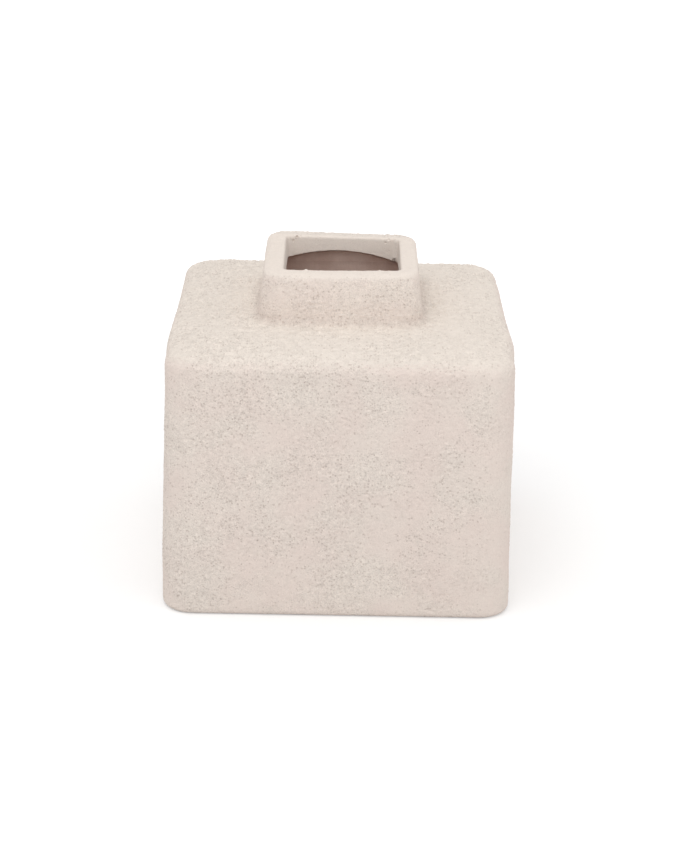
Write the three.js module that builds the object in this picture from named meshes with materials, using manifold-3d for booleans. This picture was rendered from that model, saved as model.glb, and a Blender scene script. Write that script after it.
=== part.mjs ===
// A slab-built stoneware vase: a square body, a gently crowned shoulder and a short square neck.
// Each slab, strip and coil of clay is a solid of its own, a slip line away from its neighbours.
// Millimetres, +Z up. The origin is the middle of the foot, and the front wall faces -Y.

import * as THREE from "three";
import * as BufferGeometryUtils from "three/addons/utils/BufferGeometryUtils.js";
import Module from "manifold-3d";

// Body
const FOOT_SIDE = 154; // outside width and depth of the square plan at the foot
const SHOULDER_SIDE = 150; // the same at the shoulder line, as the walls lean in a little
const SHOULDER_HEIGHT = 117; // where the wall faces would meet the shoulder at a sharp edge
const CROWN_RISE = 4.5; // how far the shoulder swells from its edge to the neck
const WALL = 8; // thickness of the four upright slabs
const BASE = 10; // thickness of the base slab
const SHOULDER = 9; // thickness of the shoulder slab
const UPRIGHT_RADIUS = 14; // rounding of the four upright edges
const SHOULDER_RADIUS = 5; // rounding where the walls turn into the shoulder
const FOOT_RADIUS = 2.5; // rounding where the walls turn under to the foot

// Neck
const NECK_HEIGHT = 22.5; // from the top of the crown to the rim
const NECK_FOOT_SIDE = 72; // outside width of the neck where it stands on the shoulder
const NECK_RIM_SIDE = 68; // outside width of the neck at the rim
const NECK_RADIUS = 10.5; // rounding of the neck's upright edges
const NECK_WALL = 6; // thickness of the neck strips at their foot
const LIP = 11; // thickness of the lip slab at its outside
const LIP_EDGE = 6; // clay left over the scoop at the middle of each side of the mouth
const RIM_RADIUS = 3; // rounding of the lip's outer edge
const MOUTH_SIDE = 52.5; // width of the square mouth at the rim
const MOUTH_DRAFT = 1.5; // how far each side of the mouth leans in on its way down
const MOUTH_RADIUS = 3; // rounding of the mouth's corners
const SCOOP_RADIUS = 72; // round hollow scooped into the lip slab from below

// Joints
const SLIP = 0.3; // slip line left between two pieces that are luted together
const COIL_RADIUS = 6; // coils pressed into the inside seams
const NECK_COIL = 5.5; // height and reach of the coil smoothed round the neck's foot
const COIL_TOE = 0.5; // least thickness of the neck coil at its feathered edges

// Fineness of the curved surfaces
const CORNER_STEPS = 6; // segments in a rounded corner, seen from above
const EDGE_STEPS = 5; // segments in a rounded edge, seen from the side
const CROWN_STEPS = 4; // segments in the swell of the shoulder
const SCOOP_STEPS = 96; // segments round the scoop
const COIL_STEPS = 20; // segments round a coil
const LEAST_RADIUS = 0.5; // a corner never gets sharper than this
const MERGE_DISTANCE = 1e-4; // points this close are one point

// Finish of the pieces
const COAT = { color: 0xdccfc7, roughness: 0.92, metalness: 0 };
const RIM_COAT = { color: 0xe6dbd1, roughness: 0.85, metalness: 0 };
const BARE_CLAY = { color: 0xdac1b5, roughness: 0.95, metalness: 0 };

// Heights and half widths that follow from the sizes above
const SHOULDER_HALF = SHOULDER_SIDE / 2;
const CROWN_TOP = SHOULDER_HEIGHT + CROWN_RISE;
const WALL_TOP = SHOULDER_HEIGHT - SHOULDER;
const RIM = CROWN_TOP + NECK_HEIGHT;
const LIP_BOTTOM = RIM - LIP;
const STRIP_TOP = LIP_BOTTOM - SLIP;
const STRIP_BOTTOM = CROWN_TOP + SLIP;
const CHANNEL_SIDE = NECK_FOOT_SIDE - 2 * NECK_WALL;
const CHANNEL_RADIUS = NECK_RADIUS - NECK_WALL;
const COIL_FOOT_HALF = NECK_FOOT_SIDE / 2 + SLIP;
const CROWN_FLAT_HALF = COIL_FOOT_HALF + NECK_COIL + SLIP;
const CROWN_FLAT_RADIUS = NECK_RADIUS + SLIP + NECK_COIL + SLIP;
const CAVITY_RADIUS = UPRIGHT_RADIUS - WALL;
const CYLINDER_AXIS = new THREE.Vector3(0, 1, 0); // the way a cylinder geometry points when made
const REACH = 2 * (FOOT_SIDE + SHOULDER_SIDE + RIM); // longer than the vase in every direction

const wasm = await Module();
wasm.setup();

// Turn a closed three.js geometry into a solid that can be cut.
function toSolid(geometry) {
  const bare = geometry.clone();
  bare.deleteAttribute("normal");
  bare.deleteAttribute("uv");
  const merged = BufferGeometryUtils.mergeVertices(bare, MERGE_DISTANCE);
  return new wasm.Manifold(
    new wasm.Mesh({
      numProp: 3,
      vertProperties: Float32Array.from(merged.attributes.position.array),
      triVerts: Uint32Array.from(merged.index.array),
    }),
  );
}

// Turn a cut solid back into a three.js geometry.
function toGeometry(solid) {
  const mesh = solid.getMesh();
  const geometry = new THREE.BufferGeometry();
  const points = Float32Array.from(mesh.vertProperties);
  geometry.setAttribute("position", new THREE.BufferAttribute(points, mesh.numProp));
  geometry.setIndex(new THREE.BufferAttribute(Uint32Array.from(mesh.triVerts), 1));
  geometry.computeVertexNormals();
  return geometry;
}

// Points of a level rounded square, counter-clockwise seen from above.
function squareRing({ half, radius, z }) {
  const bend = THREE.MathUtils.clamp(radius, LEAST_RADIUS, half - LEAST_RADIUS);
  const points = [];
  for (let quarter = 0; quarter < 4; quarter += 1) {
    const diagonal = (quarter + 0.5) * (Math.PI / 2);
    const centreX = Math.SQRT2 * (half - bend) * Math.cos(diagonal);
    const centreY = Math.SQRT2 * (half - bend) * Math.sin(diagonal);
    for (let step = 0; step <= CORNER_STEPS; step += 1) {
      const angle = (quarter + step / CORNER_STEPS) * (Math.PI / 2);
      points.push(centreX + bend * Math.cos(angle), centreY + bend * Math.sin(angle), z);
    }
  }
  return points;
}

// Skin a stack of rounded squares. An open stack gets a lid at each end, and a closed one joins
// its last square to its first, which makes a square ring.
function loft(levels, closed = false) {
  const rings = levels.map(squareRing);
  const count = rings[0].length / 3;
  const points = rings.flat();
  const faces = [];
  const spans = closed ? rings.length : rings.length - 1;
  for (let span = 0; span < spans; span += 1) {
    const lower = span * count;
    const upper = ((span + 1) % rings.length) * count;
    for (let here = 0; here < count; here += 1) {
      const next = (here + 1) % count;
      faces.push(lower + here, lower + next, upper + next);
      faces.push(lower + here, upper + next, upper + here);
    }
  }
  if (!closed) {
    const bottomMiddle = points.length / 3;
    const topMiddle = bottomMiddle + 1;
    const topStart = (rings.length - 1) * count;
    points.push(0, 0, levels[0].z, 0, 0, levels.at(-1).z);
    for (let here = 0; here < count; here += 1) {
      const next = (here + 1) % count;
      faces.push(bottomMiddle, next, here);
      faces.push(topMiddle, topStart + here, topStart + next);
    }
  }
  const geometry = new THREE.BufferGeometry();
  geometry.setAttribute("position", new THREE.Float32BufferAttribute(points, 3));
  geometry.setIndex(faces);
  return toSolid(geometry);
}

// Everything between two heights.
function band(bottom, top) {
  const slab = new THREE.BoxGeometry(REACH, REACH, top - bottom);
  slab.translate(0, 0, (bottom + top) / 2);
  return toSolid(slab);
}

// The quarter of the plan that lies in front, between two mitres half a slip line back from 45 degrees.
function frontQuarter() {
  const apex = -SLIP / Math.SQRT2;
  const outline = new THREE.Shape();
  outline.moveTo(0, apex);
  outline.lineTo(-REACH, apex - REACH);
  outline.lineTo(REACH, apex - REACH);
  return toSolid(new THREE.ExtrudeGeometry(outline, { depth: REACH, bevelEnabled: false }));
}

// An upright square shaft between two heights.
function shaft(side, radius, bottom, top) {
  const half = side / 2;
  return loft([
    { half, radius, z: bottom },
    { half, radius, z: top },
  ]);
}

// Half the body's outside width at a height.
function bodyHalf(z) {
  return THREE.MathUtils.lerp(FOOT_SIDE, SHOULDER_SIDE, z / SHOULDER_HEIGHT) / 2;
}

// Half the width of the room inside at a height.
function cavityHalf(z) {
  return bodyHalf(z) - WALL;
}

// Height of the crown's upper face over a square of the given half width.
function crownHeight(half) {
  const outward = (half - CROWN_FLAT_HALF) / (SHOULDER_HALF - CROWN_FLAT_HALF);
  return SHOULDER_HEIGHT + CROWN_RISE * (1 - outward * outward);
}

// Squares from the crown's edge to the flat under the neck, rounder in plan on the way and lowered by a drop.
function crownLevels(edgeHalf, edgeRadius, drop) {
  const levels = [];
  for (let step = 1; step <= CROWN_STEPS; step += 1) {
    const inward = step / CROWN_STEPS;
    const half = THREE.MathUtils.lerp(edgeHalf, CROWN_FLAT_HALF, inward);
    const radius = THREE.MathUtils.lerp(edgeRadius, CROWN_FLAT_RADIUS, inward);
    levels.push({ half, radius, z: crownHeight(half) - drop });
  }
  return levels;
}

// The whole outside of the body as one block, from the foot to the flat that carries the neck.
function bodyBlock() {
  const levels = [];
  for (let step = 0; step <= EDGE_STEPS; step += 1) {
    const angle = (step / EDGE_STEPS) * (Math.PI / 2);
    const inset = FOOT_RADIUS * (1 - Math.sin(angle));
    const z = FOOT_RADIUS * (1 - Math.cos(angle));
    levels.push({ half: bodyHalf(z) - inset, radius: UPRIGHT_RADIUS - inset, z });
  }
  const slope = Math.atan((2 * CROWN_RISE) / (SHOULDER_HALF - CROWN_FLAT_HALF));
  const bendTop = SHOULDER_HEIGHT + SHOULDER_RADIUS * (Math.tan(slope) - 1 / Math.cos(slope));
  for (let step = 0; step <= EDGE_STEPS; step += 1) {
    const angle = (step / EDGE_STEPS) * (Math.PI / 2 - slope);
    const inset = SHOULDER_RADIUS * (1 - Math.cos(angle));
    const z = bendTop + SHOULDER_RADIUS * Math.sin(angle);
    levels.push({ half: bodyHalf(z) - inset, radius: UPRIGHT_RADIUS - inset, z });
  }
  const edge = levels.at(-1);
  return loft([...levels, ...crownLevels(edge.half, edge.radius, 0)]);
}

// Height where the inside of the walls meets the underside of the shoulder slab.
function ceilingEdge() {
  return crownHeight(SHOULDER_HALF - WALL) - SHOULDER;
}

// The room inside the body, held back from the clay by the given gap.
function cavity(gap) {
  const floorHalf = cavityHalf(BASE) - gap;
  const ceilingHalf = cavityHalf(ceilingEdge()) - gap;
  const radius = CAVITY_RADIUS - gap;
  return loft([
    { half: floorHalf, radius, z: BASE + gap },
    { half: ceilingHalf, radius, z: crownHeight(ceilingHalf) - SHOULDER - gap },
    ...crownLevels(ceilingHalf, radius, SHOULDER + gap),
  ]);
}

// Half the neck's outside width at a height.
function neckHalf(z) {
  return THREE.MathUtils.lerp(NECK_FOOT_SIDE, NECK_RIM_SIDE, (z - CROWN_TOP) / NECK_HEIGHT) / 2;
}

// The whole outside of the neck as one block, with the rim's outer edge rounded.
function neckBlock() {
  const levels = [{ half: neckHalf(CROWN_TOP), radius: NECK_RADIUS, z: CROWN_TOP }];
  for (let step = 0; step <= EDGE_STEPS; step += 1) {
    const angle = (step / EDGE_STEPS) * (Math.PI / 2);
    const inset = RIM_RADIUS * (1 - Math.cos(angle));
    const z = RIM - RIM_RADIUS * (1 - Math.sin(angle));
    levels.push({ half: neckHalf(z) - inset, radius: NECK_RADIUS - inset, z });
  }
  return loft(levels);
}

// A round coil laid along the inside edge of the cavity at one height.
function seamCoil(z) {
  const levels = [];
  for (let step = 0; step < COIL_STEPS; step += 1) {
    const angle = (step / COIL_STEPS) * (2 * Math.PI);
    const outward = COIL_RADIUS * Math.cos(angle);
    levels.push({
      half: cavityHalf(z) + outward,
      radius: CAVITY_RADIUS + outward,
      z: z + COIL_RADIUS * Math.sin(angle),
    });
  }
  return loft(levels, true);
}

// A coil up the cavity's front right corner, between the coils above and below it.
function cornerCoil(bottom, top) {
  const start = new THREE.Vector3(cavityHalf(bottom), -cavityHalf(bottom), bottom);
  const end = new THREE.Vector3(cavityHalf(top), -cavityHalf(top), top);
  const path = new THREE.LineCurve3(start, end);
  const coil = new THREE.CylinderGeometry(COIL_RADIUS, COIL_RADIUS, path.getLength(), COIL_STEPS);
  const lean = new THREE.Quaternion();
  lean.setFromUnitVectors(CYLINDER_AXIS, path.getTangent(0));
  coil.applyQuaternion(lean);
  coil.translate(...path.getPoint(0.5));
  return toSolid(coil);
}

// The coil smoothed into the angle between the neck and the shoulder, hollow on its outside.
function neckCoil() {
  const bottom = CROWN_TOP + SLIP;
  const top = CROWN_TOP + NECK_COIL;
  const rise = top - bottom;
  const bend = rise - COIL_TOE;
  const profile = [[COIL_FOOT_HALF + NECK_COIL, bottom]];
  for (let step = 0; step <= EDGE_STEPS; step += 1) {
    const angle = (step / EDGE_STEPS) * (Math.PI / 2);
    const outward = COIL_TOE + (NECK_COIL - COIL_TOE) * (1 - Math.sin(angle));
    profile.push([COIL_FOOT_HALF + outward, top - bend * Math.cos(angle)]);
  }
  profile.push([neckHalf(top) + SLIP, top]);
  profile.push([neckHalf(bottom) + SLIP, bottom]);
  const levels = profile.map(([half, z]) => {
    return { half, radius: NECK_RADIUS + half - NECK_FOOT_SIDE / 2, z };
  });
  return loft(levels, true);
}

// Half the width of the mouth at a height.
function mouthHalf(z) {
  return MOUTH_SIDE / 2 - (MOUTH_DRAFT * (RIM - z)) / LIP;
}

// The mouth cut through the lip slab.
function mouthCut() {
  const ends = [LIP_BOTTOM - SLIP, RIM + SLIP];
  return loft(ends.map((z) => ({ half: mouthHalf(z), radius: MOUTH_RADIUS, z })));
}

// The hollow scooped into the lip slab from below, no wider than the channel under it.
function scoop() {
  const crest = RIM - LIP_EDGE;
  const drop = Math.sqrt(SCOOP_RADIUS ** 2 - mouthHalf(crest) ** 2);
  const ball = new THREE.SphereGeometry(SCOOP_RADIUS, SCOOP_STEPS, SCOOP_STEPS / 2);
  ball.rotateX(Math.PI / 2);
  ball.translate(0, 0, crest - drop);
  return toSolid(ball).intersect(shaft(CHANNEL_SIDE, CHANNEL_RADIUS, LIP_BOTTOM - SLIP, RIM));
}

// A named piece with its own material, turned about the vase's axis by quarter turns.
function piece(name, solid, finish, quarterTurns = 0) {
  const mesh = new THREE.Mesh(toGeometry(solid), new THREE.MeshStandardMaterial(finish));
  mesh.name = name;
  mesh.rotation.z = quarterTurns * (Math.PI / 2);
  return mesh;
}

// The four sides in the order that quarter turns reach them, and the corners between them.
const SIDES = ["front", "right", "back", "left"];
const CORNERS = ["front_right", "back_right", "back_left", "front_left"];

// Base, walls and shoulder.
function bodySlabs() {
  const group = new THREE.Group();
  const block = bodyBlock();
  const shell = block.subtract(cavity(0));
  const wall = shell.intersect(band(BASE + SLIP, WALL_TOP)).intersect(frontQuarter());
  const opening = shaft(CHANNEL_SIDE, CHANNEL_RADIUS, WALL_TOP, CROWN_TOP + SLIP);
  const shoulder = shell.intersect(band(WALL_TOP + SLIP, REACH)).subtract(opening);
  group.add(piece("base_slab", block.intersect(band(-REACH, BASE)), COAT));
  SIDES.forEach((side, turns) => group.add(piece(`${side}_wall`, wall, COAT, turns)));
  group.add(piece("shoulder_slab", shoulder, COAT));
  return group;
}

// Neck strips and the lip slab.
function neckPieces() {
  const group = new THREE.Group();
  const block = neckBlock();
  const channel = shaft(CHANNEL_SIDE, CHANNEL_RADIUS, CROWN_TOP - SLIP, LIP_BOTTOM);
  const collar = block.intersect(band(STRIP_BOTTOM, STRIP_TOP)).subtract(channel);
  const strip = collar.intersect(frontQuarter());
  const lip = block.intersect(band(LIP_BOTTOM, REACH)).subtract(mouthCut()).subtract(scoop());
  SIDES.forEach((side, turns) => group.add(piece(`neck_${side}`, strip, COAT, turns)));
  group.add(piece("lip_slab", lip, RIM_COAT));
  return group;
}

// Coils pressed into the seams inside, and the coil smoothed round the neck outside.
function seamCoils() {
  const group = new THREE.Group();
  const room = cavity(SLIP);
  const ceiling = ceilingEdge();
  const upright = cornerCoil(BASE + COIL_RADIUS + SLIP, ceiling - COIL_RADIUS - SLIP);
  group.add(piece("neck_coil", neckCoil(), COAT));
  group.add(piece("base_coil", seamCoil(BASE).intersect(room), BARE_CLAY));
  group.add(piece("shoulder_coil", seamCoil(ceiling).intersect(room), BARE_CLAY));
  CORNERS.forEach((corner, turns) => {
    group.add(piece(`corner_coil_${corner}`, upright.intersect(room), BARE_CLAY, turns));
  });
  return group;
}

const vase = new THREE.Group();
vase.name = "vase";
vase.add(bodySlabs(), neckPieces(), seamCoils());

export default vase;
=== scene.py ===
"""Square stoneware vase with a sandy matt coat, dressed around its packed slabs.

The outside is raised as one hand-worked skin and then cut along the luted joints, so that each
slab is a closed piece of its own and no joint shows through the coat. Metres, +Z up, and the
front wall faces -Y.
"""

import logging
import math
from dataclasses import dataclass, field
from enum import Enum
from functools import cached_property
from typing import Iterable

import bmesh
import bpy
from mathutils import Matrix, Vector, noise


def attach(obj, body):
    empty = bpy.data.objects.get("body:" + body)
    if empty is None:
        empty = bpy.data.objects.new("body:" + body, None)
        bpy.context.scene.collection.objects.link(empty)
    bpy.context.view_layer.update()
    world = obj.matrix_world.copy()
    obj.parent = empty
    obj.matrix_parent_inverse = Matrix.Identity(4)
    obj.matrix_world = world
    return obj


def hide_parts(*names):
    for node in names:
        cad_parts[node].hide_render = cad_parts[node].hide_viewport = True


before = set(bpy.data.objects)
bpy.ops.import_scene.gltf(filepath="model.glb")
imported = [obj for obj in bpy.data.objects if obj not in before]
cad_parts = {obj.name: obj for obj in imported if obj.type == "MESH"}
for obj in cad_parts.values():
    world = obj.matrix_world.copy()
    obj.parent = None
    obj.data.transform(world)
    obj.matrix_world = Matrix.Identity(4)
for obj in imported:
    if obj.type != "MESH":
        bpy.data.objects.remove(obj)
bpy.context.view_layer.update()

LOG = logging.getLogger("vase")
MM = 0.001
ROOT_BODY = "root"
WELD = 1e-7  # points this close to a cutting plane lie on it
NEAR = 0.05 * MM  # points this close to a height belong to its ring
PAST = 1 * MM  # how far a cutting block reaches past what it cuts
CUTTER_EDGE = 1 * MM  # rounding of a cutting block's upright edges
ARC = 0.5  # bevel profile of a plain arc
BALL_STEPS = 2  # subdivisions of a small ball
STRAIGHT_DOWN = -0.999  # a face whose normal points lower than this looks straight down
NOISE_MIDDLE = 0.5
FINE_SKIN = 0.52 * MM

SHOULDER_HALF = 75 * MM
SHOULDER_HEIGHT = 117 * MM
NECK_FOOT = 121.5 * MM
RIM = 144 * MM
RIM_HALF = 34 * MM

Colour = tuple[float, float, float]
Ends = tuple[float, float]
Ball = tuple[float, float, float, float]  # middle and radius in millimetres
Mesh = bmesh.types.BMesh
Face = bmesh.types.BMFace
Edge = bmesh.types.BMEdge
Material = bpy.types.Material
Socket = bpy.types.NodeSocket


class Side(Enum):
    """The four sides of the vase, as quarter turns about its axis from the front."""

    FRONT = 0
    RIGHT = 1
    BACK = 2
    LEFT = 3

    @property
    def word(self) -> str:
        """The side's name as the pieces spell it."""
        return self.name.lower()

    def outward(self) -> Vector:
        """Direction in which this side faces."""
        return Matrix.Rotation(self.value * math.pi / 2, 3, "Z") @ Vector((0, -1, 0))

    def mitres(self) -> tuple[Vector, Vector]:
        """Outward normals of the two upright planes that bound this side's quarter of the plan."""
        turn = Matrix.Rotation(self.value * math.pi / 2, 3, "Z")
        return turn @ Vector((1, 1, 0)).normalized(), turn @ Vector((-1, 1, 0)).normalized()


class Surface(Enum):
    """Material slots on a slab."""

    COAT = 0
    CLAY = 1


@dataclass(frozen=True)
class Joints:
    """Heights of the level joints between the slabs."""

    base: float = 10.15 * MM
    wall_top: float = 108.15 * MM
    neck_foot: float = 121.65 * MM
    lip: float = 132.85 * MM


def smooth_step(low: float, high: float, value: float) -> float:
    """Ease from 0 at the low value to 1 at the high one."""
    share = min(1.0, max(0.0, (value - low) / (high - low)))
    return share * share * (3 - 2 * share)


def soften(block: Mesh, edges: list[Edge], radius: float, segments: int) -> None:
    """Round edges by a radius, in so many segments."""
    bmesh.ops.bevel(block, geom=edges, offset=radius, offset_type="OFFSET", segments=segments,
                    profile=ARC, affect="EDGES", material=-1)


def paint(shape: Mesh, surface: Surface, smooth: bool = False) -> None:
    """Give every face of a mesh one finish.

    Args:
        shape: Mesh to paint.
        surface: Its finish.
        smooth: Whether its faces are shaded as one curve.
    """
    for face in shape.faces:
        face.material_index = surface.value
        face.smooth = smooth


def rounded_block(half_low: float, half_high: float, radius: float, bottom: float, top: float,
                  segments: int) -> Mesh:
    """Make an upright square block with rounded upright edges and a taper.

    Args:
        half_low: Half width at the bottom.
        half_high: Half width at the top.
        radius: Rounding of the upright edges.
        bottom: Height of the lower face.
        top: Height of the upper face.
        segments: Segments in each rounded edge.

    Returns:
        A new closed mesh.
    """
    middle, half_rise = (top + bottom) / 2, (top - bottom) / 2
    block = bmesh.new()
    bmesh.ops.create_cube(block, size=2.0)
    bmesh.ops.scale(block, vec=(half_high, half_high, half_rise), verts=block.verts)
    bmesh.ops.translate(block, vec=(0, 0, middle), verts=block.verts)
    low = [v for v in block.verts if v.co.z < middle]
    bmesh.ops.scale(block, vec=(half_low / half_high, half_low / half_high, 1), verts=low)
    uprights = [e for e in block.edges if abs(e.verts[0].co.z - e.verts[1].co.z) > half_rise]
    soften(block, uprights, radius, segments)
    return block


def cutting_block(half: float, bottom: float, top: float) -> Mesh:
    """Make a plain square block to cut with, whose cuts are bare clay.

    Args:
        half: Half width.
        bottom: Height of the lower face.
        top: Height of the upper face.

    Returns:
        A new closed mesh.
    """
    block = rounded_block(half, half, CUTTER_EDGE, bottom, top, 1)
    paint(block, Surface.CLAY)
    return block


def small_balls(places: Iterable[Ball]) -> Mesh:
    """Make small balls.

    Args:
        places: Each ball's middle and radius, in millimetres.

    Returns:
        A new mesh that holds them all.
    """
    balls = bmesh.new()
    for x, y, z, radius in places:
        middle = Matrix.Translation(Vector((x, y, z)) * MM)
        bmesh.ops.create_icosphere(balls, subdivisions=BALL_STEPS, radius=radius * MM, matrix=middle)
    return balls


def highest_face(block: Mesh) -> Face:
    """The level face that lies highest."""
    return max(block.faces, key=lambda face: (round(face.calc_center_median().z, 9), face.normal.z))


def raise_face(block: Mesh, face: Face, half_from: float, half_to: float, rise: float) -> Face:
    """Extrude a level face, drawing it in about the axis and lifting it.

    Args:
        block: Mesh that holds the face.
        face: Face to extrude.
        half_from: Half width of the face now.
        half_to: Half width of the face afterwards.
        rise: How far the face goes up.

    Returns:
        The face in its new place.
    """
    made = bmesh.ops.extrude_face_region(block, geom=[face])["geom"]
    if face.is_valid and face in block.faces[:]:
        bmesh.ops.delete(block, geom=[face], context="FACES_ONLY")
    verts = [g for g in made if isinstance(g, bmesh.types.BMVert)]
    share = half_to / half_from
    bmesh.ops.scale(block, vec=(share, share, 1), verts=verts)
    bmesh.ops.translate(block, vec=(0, 0, rise), verts=verts)
    return next(g for g in made if isinstance(g, Face))


def level_loop(block: Mesh, height: float, half: float, least: float = 0.0) -> list[Edge]:
    """Edges of the level rings at a height that part faces of different slopes.

    Args:
        block: Mesh to search.
        height: Height of the rings.
        half: Half width of the widest ring.
        least: Half width that a ring has to pass.

    Returns:
        The rings' edges.
    """
    level = [e for e in block.edges if all(abs(v.co.z - height) < NEAR for v in e.verts)]
    ring = []
    for edge in level:
        outer = max(max(abs(v.co.x), abs(v.co.y)) for v in edge.verts)
        sides = {round(f.normal.z, 2) for f in edge.link_faces}
        if least < outer <= half + NEAR and len(sides) > 1:
            ring.append(edge)
    return ring


def put(data: bpy.types.ID, name: str) -> bpy.types.Object:
    """Put a mesh, a lamp or a camera in the scene.

    Args:
        data: What the object shows.
        name: Name of the object.

    Returns:
        The new object.
    """
    made = bpy.data.objects.new(name, data)
    bpy.context.scene.collection.objects.link(made)
    return made


def stand_up(shape: Mesh, name: str) -> bpy.types.Object:
    """Put a mesh in the scene for the length of a modifier's work.

    Args:
        shape: Mesh, which is left as it is.
        name: Name of the helper.

    Returns:
        The helper object, with one empty slot for each surface.
    """
    mesh = bpy.data.meshes.new(name)
    shape.to_mesh(mesh)
    for _ in Surface:
        mesh.materials.append(None)
    return put(mesh, name)


def discard(helper: bpy.types.Object) -> None:
    """Remove a helper and its mesh.

    Args:
        helper: Helper object, which goes.
    """
    mesh = helper.data
    bpy.data.objects.remove(helper)
    bpy.data.meshes.remove(mesh)


def take_down(helper: bpy.types.Object) -> Mesh:
    """Read a helper with its modifiers applied, and remove it.

    Args:
        helper: Helper object, which goes.

    Returns:
        A new mesh.
    """
    depsgraph = bpy.context.evaluated_depsgraph_get()
    settled = bpy.data.meshes.new_from_object(helper.evaluated_get(depsgraph))
    shape = bmesh.new()
    shape.from_mesh(settled)
    discard(helper)
    bpy.data.meshes.remove(settled)
    return shape


def voxel_skin(shells: Iterable[Mesh], voxel: float, surface: Surface) -> Mesh:
    """Unite overlapping closed shells under one even skin.

    Args:
        shells: Closed shells, which are freed.
        voxel: Edge length of the skin's cells.
        surface: Finish of the skin.

    Returns:
        A new closed mesh.
    """
    united = bmesh.new()
    for shell in shells:
        mesh = bpy.data.meshes.new("shell")
        shell.to_mesh(mesh)
        united.from_mesh(mesh)
        shell.free()
        bpy.data.meshes.remove(mesh)
    helper = stand_up(united, "raw_skin")
    united.free()
    remesh = helper.modifiers.new("even", "REMESH")
    remesh.mode = "VOXEL"
    remesh.voxel_size = voxel
    skin = take_down(helper)
    paint(skin, surface, smooth=True)
    return skin


def carve(blank: Mesh, tool: Mesh) -> Mesh:
    """Take a closed tool's space out of a closed blank.

    Args:
        blank: Mesh to carve, which is freed.
        tool: Mesh whose space goes, left as it is.

    Returns:
        A new closed mesh, whose new faces have the tool's finish.
    """
    kept, gone = stand_up(blank, "blank"), stand_up(tool, "tool")
    before = blank.calc_volume()
    blank.free()
    cut = kept.modifiers.new("cut", "BOOLEAN")
    cut.operation = "DIFFERENCE"
    cut.solver = "MANIFOLD"
    cut.object = gone
    made = take_down(kept)
    if made.calc_volume() >= before:
        raise RuntimeError("the tool took nothing away: one of the two meshes is not closed")
    discard(gone)
    return made


def slice_off(solid: Mesh, point: Vector, normal: Vector) -> None:
    """Cut a solid along a plane, drop what lies past it and close the cut.

    Args:
        solid: Closed mesh to cut.
        point: A point on the plane.
        normal: Direction in which the clay is dropped.
    """
    geom = solid.verts[:] + solid.edges[:] + solid.faces[:]
    cut = bmesh.ops.bisect_plane(solid, geom=geom, dist=WELD, plane_co=point, plane_no=normal,
                                 clear_outer=True, clear_inner=False)["geom_cut"]
    edges = [g for g in cut if isinstance(g, Edge)]
    made = bmesh.ops.triangle_fill(solid, use_beauty=True, use_dissolve=False, edges=edges,
                                   normal=normal)["geom"]
    for face in made:
        if isinstance(face, Face):
            face.material_index = Surface.CLAY.value
            face.smooth = False
    for edge in edges:
        edge.smooth = False


def level_cut(solid: Mesh, height: float, keep_below: bool) -> None:
    """Cut a solid level at a height and keep what lies below or above."""
    slice_off(solid, Vector((0, 0, height)), Vector((0, 0, 1 if keep_below else -1)))


@dataclass(frozen=True)
class WipedLip:
    """Where the lip was wiped smooth, and its far edge, which the cloth half missed."""

    low: float = 141.7 * MM
    high: float = 143.5 * MM
    far: Ends = (25.3 * MM, 28.5 * MM)


@dataclass(frozen=True)
class Relief:
    """One scale of the relief that hands and sand leave on clay."""

    span: float
    height: float = 1.0
    shift: tuple[float, float, float] = (0.0, 0.0, 0.0)

    def at(self, place: Vector) -> float:
        """Height of this relief at a place."""
        return self.height * noise.noise(place / self.span + Vector(self.shift))


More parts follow.
